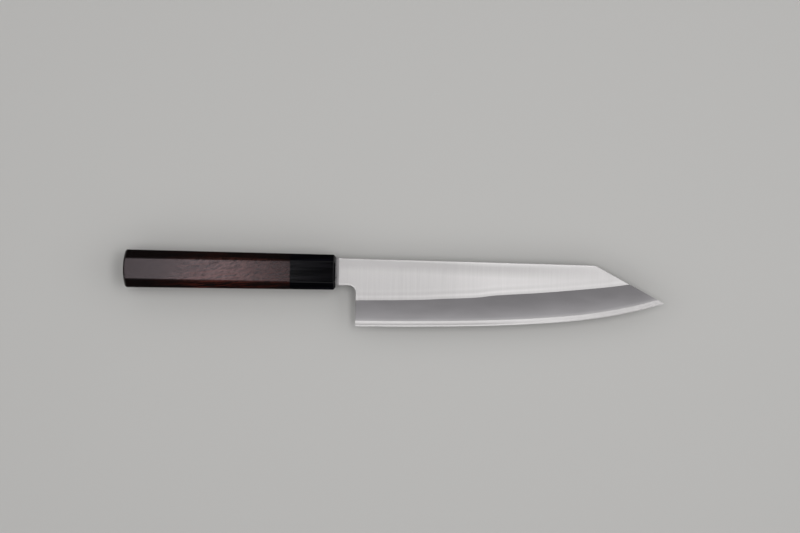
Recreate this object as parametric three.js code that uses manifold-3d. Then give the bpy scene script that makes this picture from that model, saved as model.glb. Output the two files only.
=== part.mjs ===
// Kitchen knife with a slanted tip: a three-layer blade whose hidden tang is set in an octagonal handle.
// Millimetres. +X runs from the handle to the tip, +Y from the edge to the spine, and +Z up out of the
// blade's right face. While the pieces are made, the origin lies on the handle's axis at the front face
// of the ferrule, in the blade's middle plane. At the end the knife is moved to stand on its lowest face.
import * as THREE from 'three';
import { mergeVertices } from 'three/addons/utils/BufferGeometryUtils.js';
import Module from 'manifold-3d';

const wasm = await Module();
wasm.setup();

// Blade outline
const bladeLength = 210; // heel to tip
const neckLength = 13.8; // ferrule to heel
const neckHeight = 18.5; // spine to underside at the ferrule
const choilRadius = 5.2; // round corner between the neck's underside and the heel
const heelHeight = 46.1; // spine to edge at the heel
const spineRise = 9.72; // spine above the handle's axis at the ferrule
const spineFall = 0.56; // degrees that the spine slopes down towards the tip
const slantLength = 47.3; // length of the slanted tip, along the blade
const cornerRound = 2.5; // how far the softened corner between spine and slant reaches along each
const tipDrop = 17.1; // tip below the handle's axis
const edgeFlatRun = 148.2; // the edge leaves the heel along this long line
const edgeFlatRise = 1.1;
const edgeTipRun = 34.6; // and comes into the tip along this one
const edgeTipRise = 10;

// Blade section
const neckThickness = 3.6; // at the spine, as the next three are
const heelThickness = 3;
const cornerThickness = 2; // where the spine meets the slanted tip
const tipThickness = 1.6; // of the taper carried on to the tip
const flatTaper = 0.016; // the flats lose this much thickness in each millimetre below the spine
const spineEase = 0.3; // broken corners along the spine
const coreThickness = 0.62;
const coreReveal = 3.67; // bare core above the edge
const edgeBevelHeight = 1.1; // last fine bevel on the core
const edgeBevelThickness = 0.28;

// Height of the ground bevel above the edge, at shares of the blade's length from the heel
const bevelHeights = [
  [0, 17.75],
  [0.2, 18.25],
  [0.28, 18.85],
  [0.39, 19.4],
  [0.47, 20.65],
  [0.66, 20.95],
  [0.76, 20.6],
  [0.9, 19],
];

// Tang
const tangLength = 86;
const tangHeight = 9; // at the ferrule
const tangEndHeight = 5.5;
const tangEndThickness = 2;

// Handle: an octagon whose flats keep their width while its chamfers take up the taper
const handleLength = 144.6;
const buttHeight = 25.65;
const buttThickness = 21.6;
const frontHeight = 23.9;
const frontThickness = 19.4;
const sideFlat = 14; // flats over the blade's two faces
const topFlat = 11.8; // flats in line with the spine and the edge
const ferruleLength = 30.8;
const ferruleChamfer = 1.4; // round the ferrule's front face
const buttSideRadius = 42; // dome of the butt, seen from the blade's side
const buttTopRadius = 60; // and seen from the spine

// What is inside the handle
const mouthDepth = 5; // front wall of the ferrule, which the tang passes
const tangRoom = 0.6; // round the tang in the mouth and in the dowel's slot
const slotEndRoom = 3; // behind the tang's end
const dowelWall = 1.2; // from the slot's corners to the dowel's surface
const dowelEndWall = 6; // solid end of the dowel behind its slot
const bondGap = 0.1; // glue line between pieces that are bonded

// Fineness of the curved stretches, how far a cutter reaches past what it cuts, and how far it starts
// clear of a face that it runs into
const stationStep = 7;
const roundSegments = 8;
const boreSides = 40;
const sideSplits = 4;
const domeShares = [0.03, 0.35, 0.7, 1];
const cutRoom = 4;
const touchRoom = 0.02;

const heelX = neckLength;
const tipX = heelX + bladeLength;
const cornerX = tipX - slantLength;
const neckUnder = spineRise - neckHeight;
const coreHalf = coreThickness / 2;
const slotHeight = tangHeight + 2 * tangRoom;
const slotThickness = neckThickness + 2 * tangRoom;
const slotEnd = -(tangLength + slotEndRoom);
const dowelEnd = slotEnd - dowelEndWall;
const dowelRadius = Math.hypot(slotHeight, slotThickness) / 2 + dowelWall;

// Solids from geometries, and back
function solidOf(geometry) {
  const bare = geometry.clone();
  bare.deleteAttribute('normal');
  bare.deleteAttribute('uv');
  const merged = mergeVertices(bare);
  const vertProperties = new Float32Array(merged.attributes.position.array);
  const triVerts = new Uint32Array(merged.index.array);
  return new wasm.Manifold(new wasm.Mesh({ numProp: 3, vertProperties, triVerts }));
}

function geometryOf(solid) {
  const mesh = solid.getMesh();
  const geometry = new THREE.BufferGeometry();
  geometry.setAttribute('position', new THREE.BufferAttribute(mesh.vertProperties, 3));
  geometry.setIndex(new THREE.BufferAttribute(mesh.triVerts, 1));
  geometry.computeVertexNormals();
  return geometry;
}

// A closed skin over rings of points that follow each other along +X. Each ring runs anticlockwise
// as seen from the tip, and all of them have as many points.
function loft(rings) {
  const count = rings[0].length;
  const positions = rings.flat().flatMap((point) => point.toArray());
  const index = [];
  for (let ring = 0; ring + 1 < rings.length; ring++) {
    for (let side = 0; side < count; side++) {
      const a = ring * count + side;
      const b = ring * count + ((side + 1) % count);
      index.push(a, b, b + count, a, b + count, a + count);
    }
  }
  const flat = (ring) => ring.map((point) => new THREE.Vector2(point.y, point.z));
  const last = (rings.length - 1) * count;
  for (const [a, b, c] of THREE.ShapeUtils.triangulateShape(flat(rings[0]), [])) {
    index.push(a, c, b);
  }
  for (const [a, b, c] of THREE.ShapeUtils.triangulateShape(flat(rings.at(-1)), [])) {
    index.push(last + a, last + b, last + c);
  }
  const geometry = new THREE.BufferGeometry();
  geometry.setAttribute('position', new THREE.Float32BufferAttribute(positions, 3));
  geometry.setIndex(index);
  return geometry;
}

function ringAt(x, points) {
  return points.map(([y, z]) => new THREE.Vector3(x, y, z));
}

function bar(xLow, xHigh, height, thickness) {
  const middle = (xLow + xHigh) / 2;
  return new THREE.BoxGeometry(xHigh - xLow, height, thickness).translate(middle, 0, 0);
}

function rod(xLow, xHigh, radius) {
  const middle = (xLow + xHigh) / 2;
  const rounded = new THREE.CylinderGeometry(radius, radius, xHigh - xLow, boreSides);
  return rounded.rotateZ(Math.PI / 2).translate(middle, 0, 0);
}

// Blade: lines that run along it, each given as a height at a distance from the ferrule
function heightOn(curve, x) {
  const first = curve.getPoint(0);
  const last = curve.getPoint(1);
  if (x <= first.x) return first.y;
  if (x >= last.x) {
    const ahead = curve.getTangent(1);
    return last.y + ((x - last.x) * ahead.y) / ahead.x;
  }
  let low = 0;
  let high = 1;
  for (let halving = 0; halving < 40; halving++) {
    const middle = (low + high) / 2;
    if (curve.getPoint(middle).x < x) low = middle;
    else high = middle;
  }
  return curve.getPoint(low).y;
}

function between(stations, x) {
  const next = stations.findIndex(([place], i) => i > 0 && x <= place);
  const i = next < 0 ? stations.length - 1 : next;
  const [x0, value0] = stations[i - 1];
  const [x1, value1] = stations[i];
  return THREE.MathUtils.mapLinear(x, x0, x1, value0, value1);
}

function spineAt(x) {
  return spineRise - x * Math.tan(THREE.MathUtils.degToRad(spineFall));
}

const heelEdge = spineAt(heelX) - heelHeight;
const edgeCurve = new THREE.CubicBezierCurve(
  new THREE.Vector2(heelX, heelEdge),
  new THREE.Vector2(heelX + edgeFlatRun, heelEdge + edgeFlatRise),
  new THREE.Vector2(tipX - edgeTipRun, -tipDrop - edgeTipRise),
  new THREE.Vector2(tipX, -tipDrop),
);
const bevelCurve = new THREE.SplineCurve(
  bevelHeights.map(([share, height]) => new THREE.Vector2(heelX + share * bladeLength, height)),
);
const spineThickness = [
  [-tangLength, tangEndThickness],
  [0, neckThickness],
  [heelX, heelThickness],
  [cornerX, cornerThickness],
  [tipX, tipThickness],
];

// Ring of the core at a station: a plain slab that narrows to the edge
function coreRing(x) {
  const spine = spineAt(x);
  const edge = heightOn(edgeCurve, x);
  const fine = edge + edgeBevelHeight;
  const bare = edge + coreReveal;
  return ringAt(x, [
    [edge, 0],
    [fine, -edgeBevelThickness / 2],
    [bare, -coreHalf],
    [spine, -coreHalf],
    [spine, coreHalf],
    [bare, coreHalf],
    [fine, edgeBevelThickness / 2],
  ]);
}

// Ring of the cladding on the right face: a true flat down to the bevel line, and the bevel below it
function claddingRing(x) {
  const spine = spineAt(x);
  const edge = heightOn(edgeCurve, x);
  const bevelLine = edge + heightOn(bevelCurve, x);
  const flatHalf = (y) => (between(spineThickness, x) - flatTaper * (spine - y)) / 2;
  return ringAt(x, [
    [edge + coreReveal, coreHalf],
    [spine, coreHalf],
    [spine, flatHalf(spine) - spineEase],
    [spine - spineEase, flatHalf(spine - spineEase)],
    [bevelLine, flatHalf(bevelLine)],
  ]);
}

// Stations along the blade, with one at each change of its taper
function bladeStations() {
  const changes = [-tangLength - cutRoom, 0, heelX, cornerX, tipX + cutRoom];
  const stations = [changes[0]];
  for (let i = 0; i + 1 < changes.length; i++) {
    const length = changes[i + 1] - changes[i];
    const steps = changes[i] < 0 ? 1 : Math.ceil(length / stationStep);
    for (let step = 1; step <= steps; step++) stations.push(changes[i] + (length * step) / steps);
  }
  return stations;
}

// The outline that all three layers are cut to: tang, shoulders, slanted tip, heel and neck.
// Along the spine and the edge it stands clear of the layers, which have their own shape there.
function bladeOutline() {
  const above = spineRise + cutRoom;
  const below = Math.min(heelEdge, -tipDrop) - cutRoom;
  const corner = new THREE.Vector2(cornerX, spineAt(cornerX));
  const slant = (corner.y + tipDrop) / slantLength;
  const onSlant = new THREE.Vector2(tipX, -tipDrop).sub(corner).setLength(cornerRound).add(corner);
  const onSpine = new THREE.Vector2(corner.x - cornerRound, spineAt(corner.x - cornerRound) + touchRoom);
  const outline = new THREE.Shape();
  outline.moveTo(-tangLength, -tangEndHeight / 2);
  outline.lineTo(0, -tangHeight / 2);
  outline.lineTo(0, neckUnder);
  outline.lineTo(heelX - choilRadius, neckUnder);
  const choil = [heelX - choilRadius, neckUnder - choilRadius, choilRadius];
  outline.absarc(...choil, Math.PI / 2, 0, true);
  outline.lineTo(heelX, below);
  outline.lineTo(tipX + (-tipDrop - below) / slant, below);
  outline.lineTo(onSlant.x, onSlant.y);
  outline.quadraticCurveTo(corner.x, corner.y, onSpine.x, onSpine.y);
  outline.lineTo(onSpine.x, above);
  outline.lineTo(0, above);
  outline.lineTo(0, tangHeight / 2);
  outline.lineTo(-tangLength, tangEndHeight / 2);
  outline.closePath();
  const depth = neckThickness + 2 * cutRoom;
  const settings = { depth, bevelEnabled: false, curveSegments: roundSegments };
  return new THREE.ExtrudeGeometry(outline, settings).translate(0, 0, -depth / 2);
}

const bladeCutter = solidOf(bladeOutline());

function bladeLayer(ring) {
  const rough = solidOf(loft(bladeStations().map(ring)));
  return geometryOf(rough.intersect(bladeCutter));
}

// The same piece for the blade's other face. Its triangles are turned round, so that they still face out.
function otherFace(geometry) {
  const mirrored = geometry.clone().scale(1, 1, -1);
  const corners = mirrored.index.array;
  for (let i = 0; i < corners.length; i += 3) corners.subarray(i, i + 3).reverse();
  mirrored.computeVertexNormals();
  return mirrored;
}

// Handle
function octagon(x) {
  const share = -x / handleLength;
  const height = THREE.MathUtils.lerp(frontHeight, buttHeight, share);
  const thickness = THREE.MathUtils.lerp(frontThickness, buttThickness, share);
  const quarter = [
    [height / 2, topFlat / 2],
    [sideFlat / 2, thickness / 2],
  ];
  return [
    ...quarter,
    ...quarter.map(([y, z]) => [-y, z]).reverse(),
    ...quarter.map(([y, z]) => [-y, -z]),
    ...quarter.map(([y, z]) => [y, -z]).reverse(),
  ];
}

function splitSides(corners) {
  return corners.flatMap(([y, z], i) => {
    const [yNext, zNext] = corners[(i + 1) % corners.length];
    return Array.from({ length: sideSplits }, (_, k) => {
      const share = k / sideSplits;
      return [THREE.MathUtils.lerp(y, yNext, share), THREE.MathUtils.lerp(z, zNext, share)];
    });
  });
}

function buttSag(y, z) {
  return (y * y) / (2 * buttSideRadius) + (z * z) / (2 * buttTopRadius);
}

// The butt's dome is laid over the octagon in smaller and smaller rings. Its rim slides
// along the handle's flats, so that they stay flat up to the dome.
function handleBody() {
  const front = splitSides(octagon(-ferruleLength));
  const butt = splitSides(octagon(-handleLength));
  const rim = butt.map(([y, z], i) => {
    const share = buttSag(y, z) / (handleLength - ferruleLength);
    return [THREE.MathUtils.lerp(y, front[i][0], share), THREE.MathUtils.lerp(z, front[i][1], share)];
  });
  const dome = domeShares.map((share) =>
    rim.map(([y, z]) => {
      const x = buttSag(y * share, z * share) - handleLength;
      return new THREE.Vector3(x, y * share, z * share);
    }),
  );
  const outside = solidOf(loft([...dome, ringAt(-ferruleLength, front)]));
  const bore = solidOf(rod(dowelEnd - bondGap, cutRoom - ferruleLength, dowelRadius + bondGap));
  return geometryOf(outside.subtract(bore));
}

function hornFerrule() {
  const narrow = octagon(0).map(([y, z]) => [
    y * (1 - (2 * ferruleChamfer) / frontHeight),
    z * (1 - (2 * ferruleChamfer) / frontThickness),
  ]);
  const rings = [
    ringAt(-ferruleLength, octagon(-ferruleLength)),
    ringAt(-ferruleChamfer, octagon(-ferruleChamfer)),
    ringAt(0, narrow),
  ];
  const bore = solidOf(rod(-ferruleLength - cutRoom, -mouthDepth, dowelRadius + bondGap));
  const mouth = solidOf(bar(-mouthDepth - cutRoom, cutRoom, slotHeight, slotThickness));
  return geometryOf(solidOf(loft(rings)).subtract(bore).subtract(mouth));
}

// The space that the tang takes in what surrounds it
function tangSpace() {
  const back = -tangLength - bondGap;
  const section = (x) => {
    const share = -x / tangLength;
    const y = THREE.MathUtils.lerp(tangHeight, tangEndHeight, share) / 2 + bondGap;
    const z = THREE.MathUtils.lerp(neckThickness, tangEndThickness, share) / 2 + bondGap;
    return ringAt(x, [
      [y, -z],
      [y, z],
      [-y, z],
      [-y, -z],
    ]);
  };
  return solidOf(loft([section(back), section(cutRoom)]));
}

function handleDowel() {
  const round = solidOf(rod(dowelEnd, -mouthDepth, dowelRadius));
  const slot = solidOf(bar(slotEnd, cutRoom - mouthDepth, slotHeight, slotThickness));
  return geometryOf(round.subtract(slot));
}

function filling(xLow, xHigh) {
  const poured = bar(xLow, xHigh, slotHeight - 2 * bondGap, slotThickness - 2 * bondGap);
  return geometryOf(solidOf(poured).subtract(tangSpace()));
}

// Finishes
const polishedCore = { color: 0xc9c8c8, roughness: 0.3, metalness: 1 };
const brushedCladding = { color: 0xbfbdc0, roughness: 0.38, metalness: 1 };
const oiledRosewood = { color: 0x4a3733, roughness: 0.55, metalness: 0 };
const polishedHorn = { color: 0x141216, roughness: 0.25, metalness: 0 };
const rawSoftwood = { color: 0xc8a878, roughness: 0.8, metalness: 0 };
const curedResin = { color: 0xb08a50, roughness: 0.4, metalness: 0 };
const blackSealant = { color: 0x1b1917, roughness: 0.6, metalness: 0 };

function piece(name, geometry, finish) {
  const mesh = new THREE.Mesh(geometry, new THREE.MeshStandardMaterial(finish));
  mesh.name = name;
  return mesh;
}

const rightCladding = bladeLayer(claddingRing);
const knife = new THREE.Group();
knife.add(
  piece('core_steel', bladeLayer(coreRing), polishedCore),
  piece('right_cladding', rightCladding, brushedCladding),
  piece('left_cladding', otherFace(rightCladding), brushedCladding),
  piece('handle_body', handleBody(), oiledRosewood),
  piece('horn_ferrule', hornFerrule(), polishedHorn),
  piece('handle_dowel', handleDowel(), rawSoftwood),
  piece('tang_bedding', filling(slotEnd + bondGap, -mouthDepth), curedResin),
  piece('mouth_seal', filling(-mouthDepth, 0), blackSealant),
);

// The finished knife stands on its lowest face, with the origin under the middle of its box
const box = new THREE.Box3().setFromObject(knife);
const middle = box.getCenter(new THREE.Vector3());
knife.position.set(-middle.x, -middle.y, -box.min.z);

export default knife;
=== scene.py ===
"""Dresses the solids of a slant-tipped kitchen knife and lays it in a plain pale studio."""

import math
from functools import partial

import bmesh
import bpy
import numpy
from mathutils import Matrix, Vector
from mathutils.geometry import interpolate_bezier


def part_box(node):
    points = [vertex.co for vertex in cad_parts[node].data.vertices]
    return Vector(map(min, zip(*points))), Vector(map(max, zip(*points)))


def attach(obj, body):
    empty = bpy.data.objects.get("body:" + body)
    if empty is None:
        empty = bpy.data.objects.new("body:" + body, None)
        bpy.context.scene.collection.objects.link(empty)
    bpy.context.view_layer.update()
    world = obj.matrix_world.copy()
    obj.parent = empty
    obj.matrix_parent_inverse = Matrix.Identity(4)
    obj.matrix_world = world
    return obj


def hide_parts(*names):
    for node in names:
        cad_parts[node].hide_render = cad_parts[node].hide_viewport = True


bl_info = {
    "name": "Slant-tipped kitchen knife",
    "version": (1, 0, 0),
    "blender": (4, 5, 0),
    "location": "View3D > Sidebar > Knife",
    "description": "Builds a laminated knife with an octagonal handle round its packed solids",
    "category": "Object",
}

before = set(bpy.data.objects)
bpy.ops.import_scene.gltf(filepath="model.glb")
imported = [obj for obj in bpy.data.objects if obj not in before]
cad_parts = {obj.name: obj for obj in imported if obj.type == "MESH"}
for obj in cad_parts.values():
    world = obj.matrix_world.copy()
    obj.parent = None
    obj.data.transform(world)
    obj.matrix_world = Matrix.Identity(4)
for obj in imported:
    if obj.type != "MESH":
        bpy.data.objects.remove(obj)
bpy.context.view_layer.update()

MM = 0.001
BODY_LOW, BODY_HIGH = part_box("handle_body")
FERRULE_LOW, FERRULE_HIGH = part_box("horn_ferrule")
DOWEL_LOW, DOWEL_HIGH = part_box("handle_dowel")
SEAL_LOW, SEAL_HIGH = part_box("mouth_seal")
BLADE_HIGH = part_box("core_steel")[1]

# The shapes are laid out from here, the handle's axis where it leaves the ferrule, and the finishes' patterns
# from the frame's origin.
FRONT = Vector((FERRULE_HIGH.x, (BODY_LOW.y + BODY_HIGH.y) / 2, (BODY_LOW.z + BODY_HIGH.z) / 2))

# The bevel's height above the edge in millimetres, by the share of the blade's length from the heel.
# It climbs in a soft step before the middle, where the grind was widened towards the tip.
BEVEL_HEIGHTS = [
    (0.0, 17.75), (0.2, 18.25), (0.28, 18.85), (0.39, 19.4),
    (0.47, 20.65), (0.66, 20.95), (0.76, 20.6), (0.9, 19.0),
]

# How finely the meshes are divided.
EDGE_POINTS = 400  # along the edge's curve
BEVEL_POINTS = 40  # along each span of the bevel line
BLADE_STRIPS = 84  # across the blade, from heel to tip
BLADE_CORNER_SEGMENTS = 10  # round the choil and the tip's corner
HANDLE_CORNER_SEGMENTS = 4  # round each corner of the octagon
HANDLE_SIDE_CUTS = 6  # along each side of the octagon
MOUTH_SIDE_CUTS = 11  # along each side of the ferrule's mouth
CHAMFER_SEGMENTS = 2  # round the borders of the chamfers
BORDER_RINGS = (0.29, 0.71)  # widths of the two rings that round a flat's border, as shares of the round
DOME_RINGS = (0.75, 0.65, 0.5, 0.4)  # rings on the butt's dome, each as a share of the one outside it
CUT_SNAP = 0.0001 * MM
MERGE_DISTANCE = 0.001 * MM
FLAT_ANGLE = math.radians(1)
SHARP_ANGLE = math.radians(35)

SHEET_ROOM = 5 * MM  # how far the uncut sheet reaches below the heel
THIN_SHARE = 0.6  # the most of a thin cladding that the round on its border may take
UV_SCALE = 10  # one unit of the blade's UV map is 100 mm

FACING_UP = 0.5  # least rise of a face's normal on a flat, bevel or shoulder

# Along the frame's X, where the blade's bands change: from behind the heel to past the start of the slant.
BAND_START, BAND_END = -30 * MM, 150 * MM

FLOOR_REACH = 4.0  # metres from the middle to each side
SENSOR_WIDTH = 36.0  # millimetres

# Each lamp's place, width and depth in metres, and its power in watts. A narrow panel past the butt shines
# on the handle's upper flat, a wider one past the tip shines on the blade, and two fill in from the ends.
LAMPS = {
    "panel_over_handle": ((-0.227, 0.05, 1.05), 0.16, 0.7, 1.95),
    "panel_over_tip": ((0.33, 0.05, 1.05), 0.3, 0.9, 3.0),
    "panel_left": ((-1.1, 0.0, 0.65), 0.8, 1.0, 1.75),
    "panel_right": ((1.1, 0.0, 0.65), 0.8, 1.0, 1.75),
}


def linear(code):
    """Linear colour with full alpha from an sRGB hex code."""
    parts = [int(code[i : i + 2], 16) / 255 for i in (1, 3, 5)]
    lit = [p / 12.92 if p <= 0.04045 else ((p + 0.055) / 1.055) ** 2.4 for p in parts]
    return (*lit, 1.0)


def millimetres(name, description, size):
    """A length that a user may change, with its default in millimetres."""
    return bpy.props.FloatProperty(
        name=name, description=description, default=size * MM, subtype="DISTANCE", unit="LENGTH"
    )


def degrees(name, description, angle):
    """An angle that a user may change, with its default in degrees."""
    return bpy.props.FloatProperty(
        name=name, description=description, default=math.radians(angle), subtype="ANGLE", unit="ROTATION"
    )


def colour(name, description, code):
    """A colour that a user may change, with its default as an sRGB hex code."""
    return bpy.props.FloatVectorProperty(
        name=name, description=description, default=linear(code), subtype="COLOR", size=4, min=0, max=1
    )


class KNIFE_PG_blade(bpy.types.PropertyGroup):
    """Sizes of the three-layer blade."""

    neck_length: millimetres("Neck length", "From the ferrule to the heel", 13.8)
    neck_height: millimetres("Neck height", "From the spine to the neck's underside at the ferrule", 18.5)
    # The shoulder band's darker colour is painted shade next to the ferrule.
    shoulder_length: millimetres("Shoulder length", "Dull band across the neck next to the ferrule", 2.2)
    choil_radius: millimetres("Choil radius", "Round between the neck's underside and the heel", 5.2)
    heel_height: millimetres("Heel height", "From the spine to the edge at the heel", 46.1)
    spine_rise: millimetres("Spine rise", "Spine above the handle's axis at the ferrule", 9.72)
    spine_fall: degrees("Spine fall", "Angle between the spine and the handle's axis", 0.56)
    slant_length: millimetres("Slant length", "Length of the slanted tip, along the blade", 47.3)
    corner_round: millimetres("Corner round", "Reach of the soft corner between spine and slant", 2.5)
    tip_drop: millimetres("Tip drop", "Tip below the handle's axis", 17.1)
    edge_flat_run: millimetres("Edge flat run", "Reach of the edge's nearly straight part", 148.2)
    edge_flat_rise: millimetres("Edge flat rise", "Rise of the edge over that part", 1.1)
    edge_tip_run: millimetres("Edge tip run", "Reach of the edge's curve back from the tip", 34.6)
    edge_tip_rise: millimetres("Edge tip rise", "Rise of the edge over that curve", 10.0)
    neck_thickness: millimetres("Neck thickness", "Spine's thickness at the ferrule", 3.6)
    heel_thickness: millimetres("Heel thickness", "Spine's thickness over the heel", 3.0)
    corner_thickness: millimetres("Corner thickness", "Spine's thickness where the slant starts", 2.0)
    tip_thickness: millimetres("Tip thickness", "Thickness that the spine's taper reaches at the tip", 1.6)
    flat_taper: bpy.props.FloatProperty(
        name="Flat taper",
        description="How much thinner the flats get for each length down from the spine",
        default=0.016,
        subtype="FACTOR",
    )
    border_ease: millimetres("Border ease", "Round on the borders of the flats", 0.3)
    core_thickness: millimetres("Core thickness", "Thickness of the hard middle layer", 0.62)
    core_reveal: millimetres("Core reveal", "Height of the strip of core that the bevel bares", 3.67)
    edge_bevel_height: millimetres("Edge bevel height", "Height of the fine bevel at the edge", 1.1)
    edge_bevel_thickness: millimetres("Edge bevel thickness", "Thickness where the fine bevel starts", 0.28)
    tang_length: millimetres("Tang length", "From the ferrule's front back into the handle", 86.0)
    tang_height: millimetres("Tang height", "Tang's height at the ferrule", 9.0)
    tang_end_height: millimetres("Tang end height", "Tang's height at its end", 5.5)
    tang_end_thickness: millimetres("Tang end thickness", "Tang's thickness at its end", 2.0)


class KNIFE_PG_handle(bpy.types.PropertyGroup):
    """Sizes of the octagonal handle and its ferrule."""

    front_height: millimetres("Front height", "Height of the octagon at the ferrule's front", 23.9)
    butt_height: millimetres("Butt height", "Height of the octagon at the butt", 25.65)
    front_thickness: millimetres("Front thickness", "Thickness of the octagon at the ferrule's front", 19.4)
    butt_thickness: millimetres("Butt thickness", "Thickness of the octagon at the butt", 21.6)
    side_flat: millimetres("Side flat", "Width of the two flats on the handle's sides", 14.0)
    top_flat: millimetres("Top flat", "Width of the flats over and under the handle", 11.8)
    corner_ease: millimetres("Corner ease", "Length taken off each corner of the octagon", 0.45)
    butt_side_radius: millimetres("Butt side radius", "Dome of the butt, seen from the side", 42.0)
    butt_top_radius: millimetres("Butt top radius", "Dome of the butt, seen from above", 60.0)
    rim_chamfer: millimetres("Rim chamfer", "Chamfer between the butt's dome and the flats", 0.8)
    front_chamfer: millimetres("Front chamfer", "Chamfer round the ferrule's front", 1.4)
    chamfer_ease: millimetres("Chamfer ease", "Round on the borders of both chamfers", 0.15)
    joint_ease: millimetres("Joint ease", "Depth of the fine groove between wood and horn", 0.08)
    glue_gap: millimetres("Glue gap", "Gap round the dowel and the mouth's filling", 0.1)


class KNIFE_PG_finish(bpy.types.PropertyGroup):
    """Colours of the knife's finishes."""

    # The satin flat's two colours are mixed by random bundles of strokes and by painted light: painted bands,
    # a painted rim highlight and painted lightening towards the tip.
    flat_dark: colour("Flat, dark strokes", "Satin flat where the strokes lie deep", "#a09e9e")
    flat_light: colour("Flat, light strokes", "Satin flat where the strokes lie shallow", "#bfbdbd")
    # The bevel's two colours are mixed by painted reflection and light: dark under the bevel line, paler
    # towards the core and at the heel.
    haze_dark: colour("Bevel, dark haze", "Hazed bevel just under the bevel line", "#7a787a")
    haze_light: colour("Bevel, light haze", "Hazed bevel next to the core", "#a7a5a7")
    # The core's two colours are mixed partly by painted light: a painted highlight over the fine bevel and
    # painted shade towards the tip.
    core: colour("Core steel", "Bright strip of core along the edge", "#dad8d8")
    core_dull: colour("Core steel, dull line", "Line where the fine bevel at the edge begins", "#949292")
    wood_dark: colour("Rosewood, dark", "Dense late wood between the streaks", "#060302")
    wood_red: colour("Rosewood, red", "Red-brown streaks", "#4c1b12")
    # Painted sheen: the waves' lighter colour stands in for their glint.
    wood_painted_wave_sheen: colour("Rosewood, waves", "Waving fibres that turn towards the light", "#55322c")
    wood_sheen: colour("Rosewood, sheen", "Faintly warm tint of the oiled surface's sheen", "#fdebf2")
    wood_pore: colour("Rosewood, pores", "Open pores", "#050303")
    horn: colour("Horn", "Body of the horn", "#040406")
    horn_streak: colour("Horn, streaks", "Paler layers in the horn", "#0f0e14")
    dowel_dark: colour("Dowel, dark", "Late wood of the dowel", "#b39362")
    dowel_light: colour("Dowel, light", "Early wood of the dowel", "#d9c096")
    resin_bubble: colour("Resin, bubbles", "Cloudy resin in the bubbles", "#cbb386")
    resin: colour("Resin", "Clear resin between the bubbles", "#a77f45")
    seal_dark: colour("Sealant, dark", "Binder of the sealing compound", "#141210")
    seal_light: colour("Sealant, light", "Filler grains in the sealing compound", "#2a2724")


class KNIFE_PG_studio(bpy.types.PropertyGroup):
    """The camera, the walls and the floor."""

    view_width: millimetres("View width", "Width of the picture at the blade's height", 544.5)
    camera_height: millimetres("Camera height", "Camera above the blade", 1500.0)
    view_centre: bpy.props.FloatVectorProperty(
        name="View centre",
        description="Point on the floor under the camera",
        default=(3.98 * MM, 16.6 * MM),
        size=2,
        subtype="XYZ_LENGTH",
        unit="LENGTH",
    )
    camera_turn: degrees("Camera turn", "Turn of the camera about its own axis", 1.11)
    floor: colour("Floor", "Plain matt floor", "#c6c5c3")
    walls: colour("Walls", "Pale walls round the studio", "#dadada")
    flags: colour("Flags", "Dark flags beside the knife, and the ceiling", "#101010")


def height_on(line, x):
    """Height at x of a line that is given as close points."""
    return numpy.interp(x, [p.x for p in line], [p.y for p in line])


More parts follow.
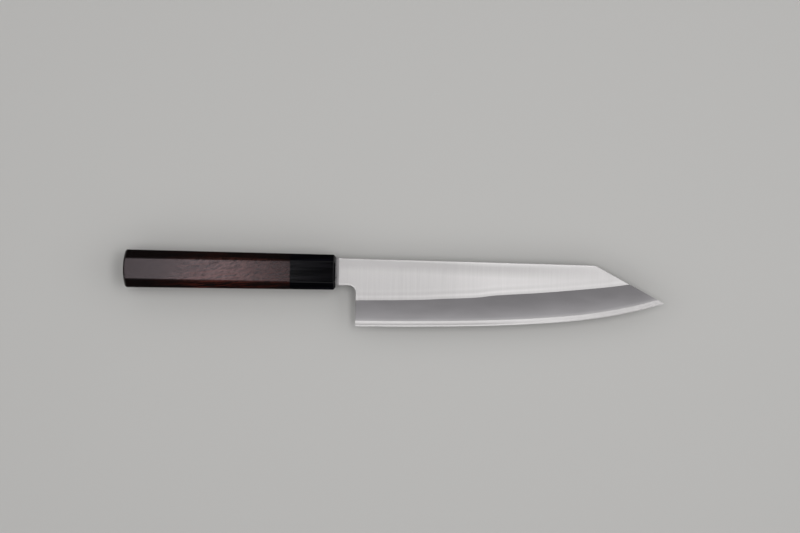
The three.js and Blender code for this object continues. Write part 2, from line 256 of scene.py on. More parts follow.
class BladeLines:
    """The lines and thicknesses that the blade is ground to, in metres from FRONT."""

    def __init__(self, sizes):
        self.sizes = sizes
        self.heel = sizes.neck_length
        self.tip = BLADE_HIGH.x - FRONT.x
        self.length = self.tip - self.heel
        self.corner = self.tip - sizes.slant_length
        self.neck_under = sizes.spine_rise - sizes.neck_height
        self.core_half = sizes.core_thickness / 2
        self.heel_edge = self.spine(self.heel) - sizes.heel_height
        self.edge_line = interpolate_bezier(
            Vector((self.heel, self.heel_edge)),
            Vector((self.heel + sizes.edge_flat_run, self.heel_edge + sizes.edge_flat_rise)),
            Vector((self.tip - sizes.edge_tip_run, -sizes.tip_drop - sizes.edge_tip_rise)),
            Vector((self.tip, -sizes.tip_drop)),
            EDGE_POINTS,
        )
        self.bevel_heights = self.smooth_line([(s * self.length, h * MM) for s, h in BEVEL_HEIGHTS])

    def smooth_line(self, places):
        """A smooth line through the places, as close points.

        It passes each place in the direction between that place's neighbours.
        """
        points = [Vector((self.heel + x, y)) for x, y in places]
        line = []
        for i in range(len(points) - 1):
            start, end = points[i], points[i + 1]
            before = points[max(i - 1, 0)]
            after = points[min(i + 2, len(points) - 1)]
            leave = start + (end - before) / 6
            arrive = end - (after - start) / 6
            line += interpolate_bezier(start, leave, arrive, end, BEVEL_POINTS)
        return line

    def spine(self, x):
        return self.sizes.spine_rise - x * math.tan(self.sizes.spine_fall)

    def edge(self, x):
        return height_on(self.edge_line, x)

    def fine_line(self, x):
        return self.edge(x) + self.sizes.edge_bevel_height

    def core_line(self, x):
        return self.edge(x) + self.sizes.core_reveal

    def bevel_line(self, x):
        return self.edge(x) + height_on(self.bevel_heights, x)

    def slant(self, y):
        """Where the slanted tip, drawn on as a straight line, is at a height."""
        top = self.spine(self.corner)
        return self.corner + (top - y) * self.sizes.slant_length / (top + self.sizes.tip_drop)

    def flat_half(self, x, y):
        """Half of the thickness between the two flats."""
        s = self.sizes
        spine_thickness = numpy.interp(
            x,
            [-s.tang_length, 0, self.heel, self.corner, self.tip],
            [s.tang_end_thickness, s.neck_thickness, s.heel_thickness, s.corner_thickness, s.tip_thickness],
        )
        return (spine_thickness - s.flat_taper * (self.spine(x) - y)) / 2

    def half(self, x, y):
        """Half of the blade's thickness at a place on its side."""
        top = self.bevel_line(x)
        if y >= top:
            return self.flat_half(x, y)
        rails = [self.edge(x), self.fine_line(x), self.core_line(x), top]
        halves = [0, self.sizes.edge_bevel_thickness / 2, self.core_half, self.flat_half(x, top)]
        return numpy.interp(y, rails, halves)

    def core_half_at(self, x, y):
        """Half of the core's thickness: that of its sheet, or less where it is ground to the edge."""
        return min(self.half(x, y), self.core_half)

    def below_spine(self, x, y):
        return self.spine(x) - y

    def before_slant(self, x, y):
        along = Vector((self.sizes.slant_length, -self.spine(self.corner) - self.sizes.tip_drop))
        return abs(Vector((self.corner - x, self.spine(self.corner) - y)).cross(along.normalized()))

    def past_heel(self, x, y):
        """Distance in from the neck's underside, the choil or the heel, whichever is nearest."""
        centre = Vector((self.heel, self.neck_under)) - Vector((1, 1)) * self.sizes.choil_radius
        if x > centre.x and y > centre.y:
            return (Vector((x, y)) - centre).length - self.sizes.choil_radius
        return y - self.neck_under if x <= centre.x else x - self.heel

    def rounded_half(self, x, y):
        """The half thickness with the flats' borders rounded, less deeply where the cladding is thin."""
        ease = self.sizes.border_ease
        inside = min(self.below_spine(x, y), self.before_slant(x, y), self.past_heel(x, y))
        depth = min(max(ease - inside, 0), ease) if x > 0 else 0
        drop = ease - math.sqrt(ease * ease - depth * depth)
        half = self.half(x, y)
        return half - min(drop, THIN_SHARE * (half - self.core_half))

    def outline(self):
        """Corners of the blade and tang by name, all sharp, with the sheet left deep below the edge."""
        s = self.sizes
        deep = self.heel_edge - SHEET_ROOM
        return {
            "tang_end_under": (-s.tang_length, -s.tang_end_height / 2),
            "tang_under": (0, -s.tang_height / 2),
            "neck_under": (0, self.neck_under),
            "choil": (self.heel, self.neck_under),
            "heel": (self.heel, deep),
            "tip": (self.slant(deep), deep),
            "tip_corner": (self.corner, self.spine(self.corner)),
            "neck_top": (0, self.spine(0)),
            "tang_top": (0, s.tang_height / 2),
            "tang_end_top": (-s.tang_length, s.tang_end_height / 2),
        }


def soften(bm, parts, size, affect, segments):
    """Rounds corners or edges, so that they catch a thin line of light."""
    bmesh.ops.bevel(
        bm,
        geom=parts,
        offset=size,
        offset_type="OFFSET",
        affect=affect,
        segments=segments,
        profile=0.5,
        material=-1,
    )


def cut_blade(lines, low_line, inner_lines):
    """A flat sheet in the blade's outline down to low_line, cut in strips and along the inner lines."""
    bm = bmesh.new()
    corners = {name: bm.verts.new((x, y, 0)) for name, (x, y) in lines.outline().items()}
    bm.faces.new(corners.values())
    soften(bm, [corners["choil"]], lines.sizes.choil_radius, "VERTICES", BLADE_CORNER_SEGMENTS)
    soften(bm, [corners["tip_corner"]], lines.sizes.corner_round, "VERTICES", BLADE_CORNER_SEGMENTS)
    steps = [lines.heel + lines.length * i / BLADE_STRIPS for i in range(BLADE_STRIPS + 1)]
    for x in [0, lines.sizes.shoulder_length, *steps]:
        everything = bm.verts[:] + bm.edges[:] + bm.faces[:]
        bmesh.ops.bisect_plane(bm, geom=everything, dist=CUT_SNAP, plane_co=(x, 0, 0), plane_no=(1, 0, 0))
    for left, right in zip(steps, steps[1:]):
        for line in [low_line, *inner_lines]:
            start = Vector((left, line(left), 0))
            across = (Vector((right, line(right), 0)) - start).cross(Vector((0, 0, 1)))
            strip = [f for f in bm.faces if left < f.calc_center_median().x < right]
            edges = {e for f in strip for e in f.edges}
            verts = {v for f in strip for v in f.verts}
            touched = [*verts, *edges, *strip]
            bmesh.ops.bisect_plane(bm, geom=touched, dist=CUT_SNAP, plane_co=start, plane_no=across)
    centres = {f: f.calc_center_median() for f in bm.faces}
    waste = [f for f, c in centres.items() if c.x > lines.heel and c.y < low_line(c.x)]
    bmesh.ops.delete(bm, geom=waste, context="FACES")
    return bm


def name_distances(bm, lines):
    """Stores each point's distance from the blade's lines, for the finishes to follow."""
    distances = {
        "above_edge": lambda x, y: y - lines.edge(x),
        "above_bevel_line": lambda x, y: y - lines.bevel_line(x),
        "below_spine": lines.below_spine,
        "past_heel": lines.past_heel,
    }
    for name, distance in distances.items():
        layer = bm.verts.layers.float.new(name)
        for v in bm.verts:
            v[layer] = distance(v.co.x, v.co.y)


def close_layer(bm, upper, lower):
    """Makes the flat sheet a closed layer between two heights, each a function of x and y."""
    made = bmesh.ops.extrude_face_region(bm, geom=bm.faces[:])["geom"]
    under = {v for v in made if isinstance(v, bmesh.types.BMVert)}
    for v in bm.verts:
        v.co.z = lower(v.co.x, v.co.y) if v in under else upper(v.co.x, v.co.y)
    bmesh.ops.remove_doubles(bm, verts=bm.verts[:], dist=MERGE_DISTANCE)
    bmesh.ops.recalc_face_normals(bm, faces=bm.faces[:])
    side = bm.loops.layers.uv.new("along_blade")
    for f in bm.faces:
        for loop in f.loops:
            loop[side].uv = loop.vert.co.xy * UV_SCALE


def link_object(name, data):
    """A new object that shows the data, linked into the scene."""
    made = bpy.data.objects.new(name, data)
    bpy.context.scene.collection.objects.link(made)
    return made


def mesh_object(bm, name, materials):
    """A new object with the finished mesh and its materials."""
    mesh = bpy.data.meshes.new(name)
    bm.to_mesh(mesh)
    bm.free()
    for material in materials:
        mesh.materials.append(material)
    return link_object(name, mesh)


def finish_piece(bm, name, node, materials):
    """Moves the mesh to its place and makes it a piece for a CAD node, smooth but for its real edges."""
    bmesh.ops.recalc_face_normals(bm, faces=bm.faces[:])
    bmesh.ops.translate(bm, vec=FRONT, verts=bm.verts[:])
    for f in bm.faces:
        f.smooth = True
    for e in bm.edges:
        finishes = {f.material_index for f in e.link_faces}
        e.smooth = len(finishes) == 1 and e.calc_face_angle(math.pi) < SHARP_ANGLE
    piece = mesh_object(bm, name, materials)
    normals = piece.modifiers.new("flat faces stay flat", "WEIGHTED_NORMAL")
    normals.keep_sharp = True
    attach(piece, "root")
    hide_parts(node)


def add_node(tree, kind, feeds=(), stops=(), **settings):
    """Adds a shader node, named without its ShaderNode prefix, with its settings and links.

    feeds gives its inputs by name or in order. A socket among them is linked, a node is linked by its first
    output in use, and anything else is set as a value. stops gives a ramp's places from 0 to 1, each with a
    grey level.
    """
    node = tree.nodes.new("ShaderNode" + kind)
    for name, value in settings.items():
        setattr(node, name, value)
    # A ramp starts with two stops.
    for _ in stops[2:]:
        node.color_ramp.elements.new(1.0)
    for i, (place, level) in enumerate(stops):
        node.color_ramp.elements[i].position = place
        node.color_ramp.elements[i].color = (level, level, level, 1.0)
    if isinstance(feeds, dict):
        inputs = [node.inputs[name] for name in feeds]
        feeds = feeds.values()
    else:
        inputs = [socket for socket in node.inputs if socket.enabled]
    for socket, value in zip(inputs, feeds):
        if isinstance(value, bpy.types.Node):
            value = next(output for output in value.outputs if output.enabled)
        if isinstance(value, bpy.types.NodeSocket):
            tree.links.new(value, socket)
        else:
            socket.default_value = value
    return node


def grains(add, sizes, turn=0.0, **feeds):
    """A noise with grains of these sizes in millimetres along X, Y and Z, turned about Z by some degrees."""
    grid = {
        "Vector": add("TexCoord").outputs["Object"],
        "Rotation": (0, 0, math.radians(turn)),
        "Scale": Vector(sizes) * MM,
    }
    return add("TexNoise", {"Vector": add("Mapping", grid, vector_type="TEXTURE"), "Scale": 1.0, **feeds})


def new_material(name, surface, values):
    """A material with the surface that a function gives, as the inputs of a Principled shader."""
    material = bpy.data.materials.new(name)
    material.use_nodes = True
    material.node_tree.nodes.clear()
    add = partial(add_node, material.node_tree)
    add("OutputMaterial", {"Surface": add("BsdfPrincipled", surface(add, values))})
    return material


def satin_flat(add, finish):
    """Soft stainless cladding, sanded across the blade by hand.

    The strokes run from spine to edge, so a highlight spreads along the blade in fine streaks. The colour
    also holds painted light: soft paler and darker bands along the spine, along the middle and over the
    bevel line are painted reflection, a bright rim on the borders is a painted highlight, and the flat is
    painted lighter towards the tip.
    """
    # Bundles of strokes are 0.8 mm wide. Single strokes of 0.03 mm are drawn 0.25 mm wide, so that they show.
    bundles = grains(add, (0.8, 30, 30), Detail=3.0)
    strokes = grains(add, (0.25, 20, 20))

    # Painted highlight: a bright rim 1.2 mm wide along the spine and round the heel, lighter in colour.
    spine = add("Attribute", attribute_name="below_spine").outputs["Fac"]
    heel = add("Attribute", attribute_name="past_heel").outputs["Fac"]
    nearest = add("Math", [spine, heel], operation="MINIMUM")
    rim = add("MapRange", [nearest, 0.8 * MM, 1.6 * MM, 0.32, 0.0])

    # Painted reflection: soft lighter and darker bands down the first 20 mm from the spine, which come nearer
    # to it towards the neck.
    along = add("SeparateXYZ", [add("TexCoord").outputs["Object"]]).outputs["X"]
    sway = add("MapRange", [along, -10 * MM, 60 * MM, 2.2 * MM, 0.0])
    swayed = add("Math", [spine, sway], operation="ADD")
    painted_spine_bands = add(
        "ValToRGB",
        [add("MapRange", [swayed, 0.0, 20 * MM])],
        stops=[(0.0, 0.5), (0.09, 0.35), (0.16, 0.0), (0.26, 0.0), (0.38, 0.25), (0.53, 0.6), (1.0, 0.5)],
    )
    # Painted reflection: two narrow lighter bands up the first 8 mm from the bevel line.
    above = add("Attribute", attribute_name="above_bevel_line").outputs["Fac"]
    painted_bevel_bands = add(
        "ValToRGB",
        [add("MapRange", [above, 0.0, 8 * MM])],
        stops=[(0.1, 0.0), (0.29, 0.5), (0.48, 0.0), (0.6, 0.05), (0.75, 0.25), (1.0, 0.15)],
    )

    # Along the blade, the painted bands are strongest over the middle, and painted light makes the flat's
    # colour lighter towards the tip.
    share = add("MapRange", [along, BAND_START, BAND_END])
    spine_reach = add(
        "ValToRGB",
        [share],
        stops=[(0.11, 0.65), (0.34, 0.75), (0.57, 1.0), (0.67, 0.85), (0.79, 0.5), (0.95, 0.1)],
    )
    bevel_reach = add("ValToRGB", [share], stops=[(0.1, 0.5), (0.45, 0.9), (0.55, 1.0), (0.8, 0.35)])
    # Painted light: the flat's colour lightens from the heel towards the tip.
    shallow = add(
        "ValToRGB",
        [share],
        stops=[
            (0.0, 0.39), (0.11, 0.44), (0.34, 0.45), (0.45, 0.53),
            (0.57, 0.56), (0.67, 0.6), (0.79, 0.73), (0.95, 0.81),
        ],
    )
    rimmed = add("Math", [painted_spine_bands, spine_reach, rim], operation="MULTIPLY_ADD")
    painted_rim_bands_and_tip_light = add("Math", [rimmed, shallow], operation="ADD")
    banded = add("Math", [painted_bevel_bands, bevel_reach, painted_rim_bands_and_tip_light], operation="MULTIPLY_ADD")
    tone = add("Math", [bundles, 0.45, banded], operation="MULTIPLY_ADD")
    light = add("MapRange", [tone, 0.83, 1.83])

    return {
        "Base Color": add("Mix", [light, finish.flat_dark, finish.flat_light], data_type="RGBA"),
        "Metallic": 1.0,
        "Roughness": add("MapRange", [bundles, 0.3, 0.7, 0.31, 0.39]),
        "Anisotropic": 0.6,
        "Tangent": add("Tangent", direction_type="UV_MAP", uv_map="along_blade"),
        "Normal": add("Bump", {"Height": strokes, "Strength": 0.1, "Distance": 0.03 * MM}),
    }


def hazed_bevel(add, finish):
    """Soft stainless cladding, stone-polished along the bevel.

    A smooth grey haze without a sharp highlight. Its colour is painted reflection, darkest under the bevel
    line and paler towards the core, and painted light makes it paler at the heel.
    """
    # Painted reflection: the colour pales slowly under the bevel line and faster towards the core. Painted
    # light makes it paler at the heel.
    below = add("Attribute", attribute_name="above_bevel_line").outputs["Fac"]
    depth = add("MapRange", [below, 0.0, -18 * MM])
    painted_reflection_fade = add("Math", [depth, 2.2], operation="POWER")
    along = add("SeparateXYZ", [add("TexCoord").outputs["Object"]]).outputs["X"]
    painted_heel_light = add("MapRange", [along, 80 * MM, -30 * MM, 0.0, 0.3])
    heel_depth = add("Math", [depth, 0.75], operation="ADD")
    pale = add("Math", [painted_heel_light, heel_depth, painted_reflection_fade], operation="MULTIPLY_ADD")
    haze = add("Mix", [pale, finish.haze_dark, finish.haze_light], data_type="RGBA")
    # A line of clearer polish, 2 mm high, where the cladding thins out over the core.
    above = add("Attribute", attribute_name="above_edge").outputs["Fac"]
    seam = add("MapRange", [above, 5.7 * MM, 3.7 * MM, 0.0, 0.36])
    # Stone marks run along the bevel, about 0.4 mm high and 25 mm long; finer ones can't show here.
    marks = grains(add, (25, 0.4, 0.4), Detail=3.0)
    # The polish is clouded in spots of about 20 by 6 mm.
    clouds = grains(add, (20, 6, 6))

    return {
        "Base Color": add("Mix", [seam, haze, finish.flat_light], data_type="RGBA"),
        "Metallic": 1.0,
        "Roughness": add("MapRange", [clouds, 0.3, 0.7, 0.53, 0.59]),
        "Normal": add("Bump", {"Height": marks, "Strength": 0.05, "Distance": 0.03 * MM}),
    }


def eased_border(add, finish):
    """Soft stainless cladding on the spine, slant, heel and neck, ground along and eased with fine paper.

    Smoother than the flats, and painted in their lightest colour, a painted highlight along the rounded
    borders, which also catch a thin line of light.
    """
    # Grinding lines 0.2 mm apart run along the border.
    grinding = grains(add, (15, 3, 0.2))
    rough = add("MapRange", [grinding, 0.3, 0.7, 0.24, 0.34])
    # The light colour on the borders is a painted highlight.
    return {"Base Color": finish.flat_light, "Metallic": 1.0, "Roughness": rough}


def shoulder_painted_shade(add, finish):
    """Soft stainless cladding on the neck's shoulder, left as it was ground.

    A dull grey band that ends the polish next to the ferrule; its darker colour is painted shade from the
    ferrule beside it.
    """
    # Grinding marks 0.3 mm apart run across the neck.
    marks = grains(add, (0.3, 12, 12))
    # Painted shade: the band is coloured darker than the flats, next to the ferrule.
    shade = add("Mix", [marks, finish.haze_dark, finish.flat_dark], data_type="RGBA")
    rough = add("MapRange", [marks, 0.3, 0.7, 0.48, 0.54])
    return {"Base Color": shade, "Metallic": 1.0, "Roughness": rough}


def whetted_core(add, finish):
    """Hard core steel, whetted with strokes across the edge.

    Bright and even, with fine short strokes that spread a lamp's highlight along the edge, and a duller line
    over the fine bevel at the edge. Painted light is in the colour too: a painted highlight on the fine bevel
    below the duller line, and painted shade that darkens the strip towards the tip.
    """
    # Whetstone strokes of 0.02 mm, drawn 0.2 mm wide so that they show.
    strokes = grains(add, (0.2, 6, 6))
    # The duller line lies from 1 to 2 mm above the edge, and runs out towards the tip. Under it, over the
    # fine bevel, the colour is a painted highlight.
    above = add("Attribute", attribute_name="above_edge").outputs["Fac"]
    height = add("MapRange", [above, 0.0, 4 * MM])
    lined = add(
        "ValToRGB",
        [height],
        stops=[(0.0, 1.0), (0.16, 0.95), (0.27, 0.25), (0.37, 0.15), (0.55, 0.4), (0.75, 0.56), (1.0, 0.58)],
    )
    plain = add("ValToRGB", [height], stops=[(0.0, 0.85), (0.22, 0.8), (0.4, 0.6), (1.0, 0.55)])
    along = add("SeparateXYZ", [add("TexCoord").outputs["Object"]]).outputs["X"]
    bands = add("Mix", [add("MapRange", [along, 60 * MM, 105 * MM]), lined, plain], data_type="RGBA")
    # Painted shade: the whole strip's colour is brightest near the heel and darker towards the tip.
    reach = add(
        "ValToRGB",
        [add("MapRange", [along, BAND_START, BAND_END])],
        stops=[(0.0, 0.86), (0.12, 0.97), (0.22, 0.96), (0.4, 0.85), (0.65, 0.8), (0.8, 0.62), (1.0, 0.33)],
    )
    bright = add("Math", [bands, reach], operation="MULTIPLY")

    return {
        "Base Color": add("Mix", [bright, finish.core_dull, finish.core], data_type="RGBA"),
        "Metallic": 1.0,
        "Roughness": add("MapRange", [strokes, 0.3, 0.7, 0.3, 0.4]),
        "Anisotropic": 0.6,
        "Tangent": add("Tangent", direction_type="UV_MAP", uv_map="along_blade"),
        "Normal": add("Bump", {"Height": strokes, "Strength": 0.05, "Distance": 0.02 * MM}),
    }


def oiled_rosewood(add, finish):
    """Dense rosewood, planed, fine-sanded and oiled.

    Nearly black, with red-brown streaks and open pores along the handle, and a soft satin sheen that ripples
    where the fibres wave. In a patch on the upper flat the waves' glint is also painted into the colour, a
    painted sheen.
    """
    place = add("TexCoord").outputs["Object"]
    # Growth streaks about 1.3 mm apart that run on for about 50 mm, 7 degrees off the handle's axis.
    streaks = grains(add, (50, 1.3, 1.3), turn=7, Detail=4.0, Roughness=0.6, Distortion=0.4)
    # The wood is reddest in the middle of its length and on the edge's side, and nearly black elsewhere.
    spot = add("SeparateXYZ", [place])
    red_length = add(
        "ValToRGB",
        [add("MapRange", [spot.outputs["X"], BODY_LOW.x, BODY_HIGH.x])],
        stops=[(0.0, 0.04), (0.17, 0.06), (0.3, 0.3), (0.47, 0.9), (0.6, 1.0), (0.82, 0.45), (1.0, 0.35)],
    )
    red_side = add("MapRange", [spot.outputs["Y"], 22 * MM, 2 * MM, 0.15, 1.0])
    red_zone = add("Math", [red_length, red_side], operation="MULTIPLY")
    red_share = add("Math", [add("MapRange", [streaks, 0.45, 0.62]), red_zone], operation="MULTIPLY")
    streaked = add("Mix", [red_share, finish.wood_dark, finish.wood_red], data_type="RGBA")
    # Pores 0.2 mm wide and 4 mm long.
    pores = add("MapRange", [grains(add, (4, 0.2, 0.2), Detail=1.0), 0.58, 0.68])
    porous = add("Mix", [pores, streaked, finish.wood_pore], data_type="RGBA")
    # Fibre waves from 1.6 mm down to 0.2 mm apart, slanted across the grain, in a patch on the upper flat.
    # Their lighter colour there is a painted sheen.
    fibres = grains(add, (4, 1.6, 4), turn=25, Detail=3.0, Roughness=0.8)
    waves = add("MapRange", [fibres, 0.35, 0.7])
    patch_place = add(
        "Mapping",
        {"Vector": place, "Location": Vector((-110, 12, 21.1)) * MM, "Scale": Vector((50, 25, 2)) * MM},
        vector_type="TEXTURE",
    )
    patch = add("TexGradient", [patch_place], gradient_type="SPHERICAL").outputs["Fac"]
    painted_ripple_sheen = add("Math", [waves, patch], operation="MULTIPLY")
    # The oil lies smooth on the waves that face up and rougher between them.
    gloss = add("MapRange", [waves, 0.0, 1.0, 0.02, -0.16])

    return {
        "Base Color": add("Mix", [painted_ripple_sheen, porous, finish.wood_painted_wave_sheen], data_type="RGBA"),
        "Roughness": add("Math", [gloss, patch, 0.23], operation="MULTIPLY_ADD"),
        "IOR": 1.5,
        "Specular IOR Level": 0.36,
        "Specular Tint": finish.wood_sheen,
        "Normal": add("Bump", {"Height": pores, "Strength": 0.12, "Distance": 0.05 * MM}, invert=True),
    }


def polished_horn(add, finish):
    """Black buffalo horn, sanded and buffed.

    Deep black with a clear gloss, and layers a shade paler that follow the horn's length.
    """
    # Growth layers about 1.5 mm thick and 40 mm long.
    layers = grains(add, (40, 1.5, 1.5), Detail=3.0, Distortion=0.3)
    paler = add("MapRange", [layers, 0.45, 0.75])
    return {
        "Base Color": add("Mix", [paler, finish.horn, finish.horn_streak], data_type="RGBA"),
        "Roughness": add("MapRange", [layers, 0.3, 0.7, 0.09, 0.13]),
        "IOR": 1.54,
        "Specular IOR Level": 0.31,
    }


def raw_dowel(add, finish):
    """Light magnolia wood, turned and left raw.

    Dry and pale, with faint lengthwise grain.
    """
    # Growth rings about 2 mm apart, drawn out along the dowel.
    rings = grains(add, (60, 2, 2), Detail=4.0)
    return {
        "Base Color": add("Mix", [rings, finish.dowel_dark, finish.dowel_light], data_type="RGBA"),
        "Roughness": 0.75,
        "IOR": 1.5,
        "Normal": add("Bump", {"Height": rings, "Strength": 0.2, "Distance": 0.1 * MM}),
    }


def cured_resin(add, finish):
    """Epoxy resin, poured round the tang and cured.

    Amber, cloudy with fine bubbles.
    """
    # Bubbles up to 0.5 mm across, about 0.9 mm apart.
    bubbles = add("TexVoronoi", {"Vector": add("TexCoord").outputs["Object"], "Scale": 1 / (0.9 * MM)})
    clear = add("MapRange", [bubbles.outputs["Distance"], 0.1, 0.5])
    shade = add("Mix", [clear, finish.resin_bubble, finish.resin], data_type="RGBA")
    return {"Base Color": shade, "Roughness": 0.35, "IOR": 1.55}


def dull_sealant(add, finish):
    """Dark sealing compound, pressed into the ferrule's mouth and wiped level.

    Dull and nearly black, slightly grainy.
    """
    # Filler grains about 0.15 mm across.
    filler = grains(add, (0.15, 0.15, 0.15), Detail=1.0)
    return {
        "Base Color": add("Mix", [filler, finish.seal_dark, finish.seal_light], data_type="RGBA"),
        "Roughness": 0.7,
        "IOR": 1.45,
        "Normal": add("Bump", {"Height": filler, "Strength": 0.3, "Distance": 0.05 * MM}),
    }


def build_core(lines, finish):
    """The hard middle layer, from the tang's end to the edge."""
    bm = cut_blade(lines, lines.edge, [lines.fine_line, lines.core_line])
    name_distances(bm, lines)
    close_layer(bm, lines.core_half_at, lambda x, y: -lines.core_half_at(x, y))
    materials = [new_material("core_steel_whetted", whetted_core, finish)]
    finish_piece(bm, "blade_core", "core_steel", materials)


def build_claddings(lines, finish):
    """The soft layers on both sides of the core, with the borders of their flats rounded."""
    bm = cut_blade(lines, lines.core_line, [lines.bevel_line])
    inner = bm.faces[:]
    for share in BORDER_RINGS:
        ring = bmesh.ops.inset_region(
            bm,
            faces=inner,
            use_boundary=True,
            use_even_offset=True,
            thickness=share * lines.sizes.border_ease,
        )["faces"]
        inner = [f for f in inner if f.is_valid and f not in ring]
    name_distances(bm, lines)
    close_layer(bm, lines.rounded_half, lambda x, y: lines.core_half)

    flat, bevel, border, shoulder = range(4)
    materials = [
        new_material("cladding_steel_satin_flat", satin_flat, finish),
        new_material("cladding_steel_hazed_bevel", hazed_bevel, finish),
        new_material("cladding_steel_eased_border", eased_border, finish),
        new_material("cladding_steel_ground_shoulder", shoulder_painted_shade, finish),
    ]
    for f in bm.faces:
        centre = f.calc_center_median()
        if f.normal.z < FACING_UP or centre.x < 0:
            f.material_index = border
        elif centre.x < lines.sizes.shoulder_length:
            f.material_index = shoulder
        else:
            f.material_index = flat if centre.y > lines.bevel_line(centre.x) else bevel
    mirrored = bm.copy()
    bmesh.ops.scale(mirrored, vec=(1, 1, -1), verts=mirrored.verts[:])
    finish_piece(bm, "blade_right_cladding", "right_cladding", materials)
    finish_piece(mirrored, "blade_left_cladding", "left_cladding", materials)


class KNIFE_OT_blade(bpy.types.Operator):
    """Build the core and the two claddings of the blade"""

    bl_idname = "knife.blade"
    bl_label = "Blade"

    def execute(self, context):
        lines = BladeLines(context.scene.knife_blade)
        build_core(lines, context.scene.knife_finish)
        build_claddings(lines, context.scene.knife_finish)
        return {"FINISHED"}


def spread(part, flat, share):
    """Scales the part of a distance from the axis that lies past half of a flat's width."""
    return math.copysign(flat + (abs(part) - flat) * share, part) if abs(part) > flat else part


class HandleLines:
    """The tapering octagon of the handle and ferrule, in metres from FRONT."""

    def __init__(self, sizes):
        self.sizes = sizes
        self.length = FRONT.x - BODY_LOW.x
        self.joint = FERRULE_LOW.x - FRONT.x
        self.bore = (DOWEL_HIGH.y - DOWEL_LOW.y) / 2 + sizes.glue_gap
        self.bore_end = DOWEL_LOW.x - FRONT.x - sizes.glue_gap
        self.mouth_end = SEAL_LOW.x - FRONT.x
        self.mouth_height = SEAL_HIGH.y - SEAL_LOW.y + 2 * sizes.glue_gap
        self.mouth_thickness = SEAL_HIGH.z - SEAL_LOW.z + 2 * sizes.glue_gap

    def half_height(self, x):
        taller = self.sizes.butt_height - self.sizes.front_height
        return (self.sizes.front_height + taller * -x / self.length) / 2

    def half_thickness(self, x):
        wider = self.sizes.butt_thickness - self.sizes.front_thickness
        return (self.sizes.front_thickness + wider * -x / self.length) / 2

    def tapered(self, place, x):
        """A place on the octagon moved along the taper: the flats keep their width and the corners widen."""
        side, top = self.sizes.side_flat / 2, self.sizes.top_flat / 2
        height = (self.half_height(x) - side) / (self.half_height(place.x) - side)
        thickness = (self.half_thickness(x) - top) / (self.half_thickness(place.x) - top)
        return Vector((x, spread(place.y, side, height), spread(place.z, top, thickness)))

    def shrunk(self, place, depth, x):
        """A place on the octagon drawn in towards the axis by a depth."""
        share = 1 - depth / self.half_thickness(place.x)
        return Vector((x, place.y * share, place.z * share))

    def on_bore(self, place, x):
        """The point of the dowel's bore in the same direction from the axis."""
        out = Vector((0, place.y, place.z)).normalized() * self.bore
        return Vector((x, out.y, out.z))

    def on_dome(self, place, drop=0.0):
        """The point of the butt's dome behind a place, or a drop in front of it."""
        side, top = self.sizes.butt_side_radius, self.sizes.butt_top_radius
        dome = place.y * place.y / (2 * side) + place.z * place.z / (2 * top)
        return Vector((dome + drop - self.length, place.y, place.z))


def octagon_ring(bm, lines, x):
    """The loop of edges round the octagon at x, its corners rounded and its sides split."""
    side, top = lines.sizes.side_flat / 2, lines.sizes.top_flat / 2
    quarter = [(lines.half_height(x), top), (side, lines.half_thickness(x))]
    upper = quarter + [(-y, z) for y, z in reversed(quarter)]
    corners = [bm.verts.new((x, y, z)) for y, z in upper + [(-y, -z) for y, z in upper]]
    bm.faces.new(corners)
    soften(bm, corners, lines.sizes.corner_ease, "VERTICES", HANDLE_CORNER_SEGMENTS)
    sides = [e for e in bm.edges if e.calc_length() > lines.sizes.corner_ease * 2]
    bmesh.ops.subdivide_edges(bm, edges=sides, cuts=HANDLE_SIDE_CUTS)
    bmesh.ops.delete(bm, geom=bm.faces[:], context="FACES_ONLY")
    return bm.edges[:]


def edges_of(geometry):
    """The edges among the parts that an operator returns."""
    return [part for part in geometry if isinstance(part, bmesh.types.BMEdge)]


def next_ring(bm, ring, place):
    """Extrudes a ring of edges and moves each new point to the place that a function gives it."""
    made = bmesh.ops.extrude_edge_only(bm, edges=ring)["geom"]
    points = {v for v in made if isinstance(v, bmesh.types.BMVert)}
    for v in points:
        v.co = place(v.co)
    return [e for e in edges_of(made) if set(e.verts) <= points]


def fill_ring(bm, outer, inner):
    """Fills the flat ring between two loops in one plane across the axis with as few faces as it can."""
    made = bmesh.ops.triangle_fill(bm, edges=outer + inner, use_beauty=True, normal=(1, 0, 0))["geom"]
    bmesh.ops.dissolve_limit(bm, angle_limit=FLAT_ANGLE, verts=[], edges=edges_of(made))


class KNIFE_OT_handle(bpy.types.Operator):
    """Build the wooden body of the handle"""

    bl_idname = "knife.handle"
    bl_label = "Handle body"

    def execute(self, context):
        lines = HandleLines(context.scene.knife_handle)
        butt, groove, chamfer = -lines.length, lines.sizes.joint_ease, lines.sizes.rim_chamfer
        bm = bmesh.new()
        front = octagon_ring(bm, lines, lines.joint - groove)
        ring = next_ring(bm, front, lambda p: lines.shrunk(p, groove, lines.joint))
        ring = next_ring(bm, ring, lambda p: lines.on_bore(p, p.x))
        ring = next_ring(bm, ring, lambda p: lines.on_bore(p, lines.bore_end))
        bmesh.ops.edgeloop_fill(bm, edges=ring)

        outer = next_ring(bm, front, lambda p: lines.on_dome(lines.tapered(p, butt), chamfer))
        rim = next_ring(bm, outer, lambda p: lines.on_dome(lines.shrunk(p, chamfer, butt)))
        ring = rim
        for share in DOME_RINGS:
            ring = next_ring(bm, ring, lambda p, share=share: lines.on_dome(p * share))
        middle = list({v for e in ring for v in e.verts})
        bmesh.ops.pointmerge(bm, verts=middle, merge_co=(butt, 0, 0))
        soften(bm, outer + rim, lines.sizes.chamfer_ease, "EDGES", CHAMFER_SEGMENTS)
        materials = [new_material("rosewood_oiled", oiled_rosewood, context.scene.knife_finish)]
        finish_piece(bm, "handle_wood", "handle_body", materials)
        return {"FINISHED"}


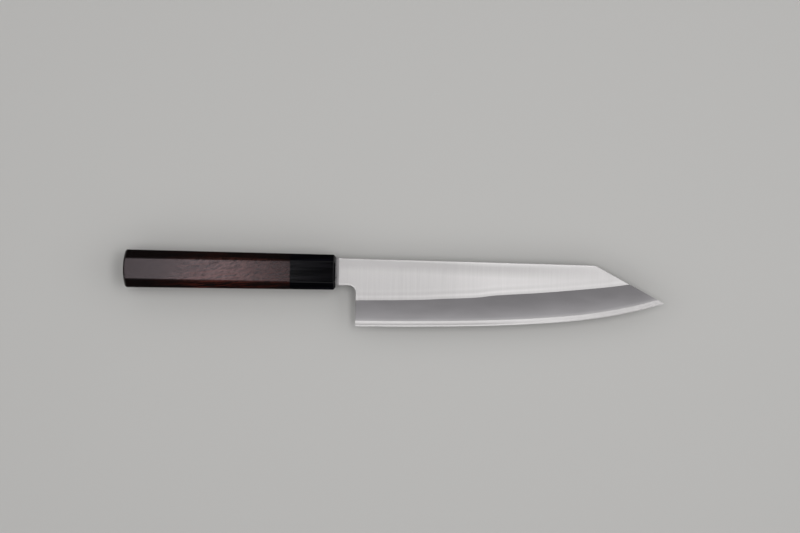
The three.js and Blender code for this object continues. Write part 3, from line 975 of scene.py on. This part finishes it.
class KNIFE_OT_ferrule(bpy.types.Operator):
    """Build the horn ferrule with its mouth"""

    bl_idname = "knife.ferrule"
    bl_label = "Horn ferrule"

    def execute(self, context):
        lines = HandleLines(context.scene.knife_handle)
        groove, chamfer = lines.sizes.joint_ease, lines.sizes.front_chamfer
        bm = bmesh.new()
        rear = octagon_ring(bm, lines, lines.joint + groove)
        ring = next_ring(bm, rear, lambda p: lines.shrunk(p, groove, lines.joint))
        ring = next_ring(bm, ring, lambda p: lines.on_bore(p, p.x))
        bore = next_ring(bm, ring, lambda p: lines.on_bore(p, lines.mouth_end))
        outer = next_ring(bm, rear, lambda p: lines.tapered(p, -chamfer))
        rim = next_ring(bm, outer, lambda p: lines.shrunk(p, chamfer, 0))

        height, thickness = lines.mouth_height / 2, lines.mouth_thickness / 2
        corners = [(height, thickness), (-height, thickness), (-height, -thickness), (height, -thickness)]
        points = [bm.verts.new((0, y, z)) for y, z in corners]
        sides = [bm.edges.new((points[i - 1], points[i])) for i in range(len(points))]
        mouth = edges_of(bmesh.ops.subdivide_edges(bm, edges=sides, cuts=MOUTH_SIDE_CUTS)["geom_split"])
        inner = next_ring(bm, mouth, lambda p: Vector((lines.mouth_end, p.y, p.z)))
        fill_ring(bm, rim, mouth)
        fill_ring(bm, bore, inner)
        soften(bm, outer + rim, lines.sizes.chamfer_ease, "EDGES", CHAMFER_SEGMENTS)
        materials = [new_material("buffalo_horn_buffed", polished_horn, context.scene.knife_finish)]
        finish_piece(bm, "handle_ferrule", "horn_ferrule", materials)
        return {"FINISHED"}


class KNIFE_OT_inner_parts(bpy.types.Operator):
    """Give the hidden dowel, bedding and seal their finishes"""

    bl_idname = "knife.inner_parts"
    bl_label = "Inner parts"

    def execute(self, context):
        for node, name, surface in (
            ("handle_dowel", "magnolia_turned", raw_dowel),
            ("tang_bedding", "epoxy_poured", cured_resin),
            ("mouth_seal", "sealing_compound_wiped", dull_sealant),
        ):
            material = new_material(name, surface, context.scene.knife_finish)
            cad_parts[node].material_slots[0].material = material
        return {"FINISHED"}


def matt_paint(add, studio):
    """Floor paint, rolled on: one even, pale colour without a highlight."""
    return {"Base Color": studio.floor, "Roughness": 0.85}


def lay_floor(studio):
    """Lays a plain floor under the knife."""
    bm = bmesh.new()
    bmesh.ops.create_grid(bm, x_segments=1, y_segments=1, size=FLOOR_REACH)
    floor = mesh_object(bm, "studio_floor", [new_material("painted_floor_matt", matt_paint, studio)])


def raise_walls(scene, studio):
    """Sets pale walls round the studio, about 8 to 50 degrees up, under a dark ceiling.

    Two dark flags, about 20 degrees high, stand where the handle's slanted sides would mirror the walls.
    """
    world = bpy.data.worlds.new("studio_walls")
    world.use_nodes = True
    world.node_tree.nodes.clear()
    add = partial(add_node, world.node_tree)
    way = add("SeparateXYZ", [add("TexCoord").outputs["Generated"]])
    rise = add("ValToRGB", [way.outputs["Z"]], stops=[(0.08, 0.0), (0.2, 1.0), (0.65, 1.0), (0.88, 0.0)])
    beside = add("Math", [way.outputs["Y"]], operation="ABSOLUTE")
    between_flags = add("MapRange", [beside, 0.78, 0.92, 1.0, 0.0])
    over_flags = add("MapRange", [way.outputs["Z"], 0.31, 0.45])
    clear = add("Math", [between_flags, over_flags], operation="MAXIMUM")
    pale = add("Math", [rise, clear], operation="MULTIPLY")
    light = add("Mix", [pale, studio.flags, studio.walls], data_type="RGBA")
    add("OutputWorld", {"Surface": add("Background", {"Color": light})})
    scene.world = world


def hang_lamps():
    """Hangs the soft panels, each turned towards the middle of the floor."""
    for name, (place, width, depth, power) in LAMPS.items():
        lamp = bpy.data.lights.new(name, "AREA")
        lamp.shape = "RECTANGLE"
        lamp.size = width
        lamp.size_y = depth
        lamp.energy = power
        x, y, z = place
        holder = link_object(name, lamp)
        holder.location = place
        holder.rotation_euler = (-math.atan2(y, z), math.atan2(x, z), 0)


def hang_camera(scene, studio):
    """Hangs the camera over the knife, looking straight down."""
    camera = link_object("camera", bpy.data.cameras.new("camera"))
    camera.location = (*studio.view_centre, FRONT.z + studio.camera_height)
    camera.rotation_euler = (0, 0, studio.camera_turn)
    camera.data.sensor_width = SENSOR_WIDTH
    camera.data.lens = SENSOR_WIDTH * studio.camera_height / studio.view_width
    scene.camera = camera


class KNIFE_OT_studio(bpy.types.Operator):
    """Set up the floor, the walls, the lamps and the camera"""

    bl_idname = "knife.studio"
    bl_label = "Studio"

    def execute(self, context):
        scene = context.scene
        scene.view_settings.view_transform = "Standard"
        lay_floor(scene.knife_studio)
        raise_walls(scene, scene.knife_studio)
        hang_lamps()
        hang_camera(scene, scene.knife_studio)
        return {"FINISHED"}


STEPS = [KNIFE_OT_blade, KNIFE_OT_handle, KNIFE_OT_ferrule, KNIFE_OT_inner_parts, KNIFE_OT_studio]
GROUPS = {
    "knife_blade": KNIFE_PG_blade,
    "knife_handle": KNIFE_PG_handle,
    "knife_finish": KNIFE_PG_finish,
    "knife_studio": KNIFE_PG_studio,
}


class KNIFE_PT_panel(bpy.types.Panel):
    """The knife's building steps and values"""

    bl_idname = "KNIFE_PT_panel"
    bl_label = "Kitchen knife"
    bl_space_type = "VIEW_3D"
    bl_region_type = "UI"
    bl_category = "Knife"

    def draw(self, context):
        for step in STEPS:
            self.layout.operator(step.bl_idname)
        for name, group in GROUPS.items():
            box = self.layout.box()
            for value in group.__annotations__:
                box.prop(getattr(context.scene, name), value)


CLASSES = [*GROUPS.values(), *STEPS, KNIFE_PT_panel]


def register():
    for made in CLASSES:
        bpy.utils.register_class(made)
    for name, group in GROUPS.items():
        setattr(bpy.types.Scene, name, bpy.props.PointerProperty(type=group))


def unregister():
    for name in GROUPS:
        delattr(bpy.types.Scene, name)
    for made in reversed(CLASSES):
        bpy.utils.unregister_class(made)


def main():
    register()
    bpy.ops.knife.blade()
    bpy.ops.knife.handle()
    bpy.ops.knife.ferrule()
    bpy.ops.knife.inner_parts()
    bpy.ops.knife.studio()


if __name__ == "__main__":
    main()
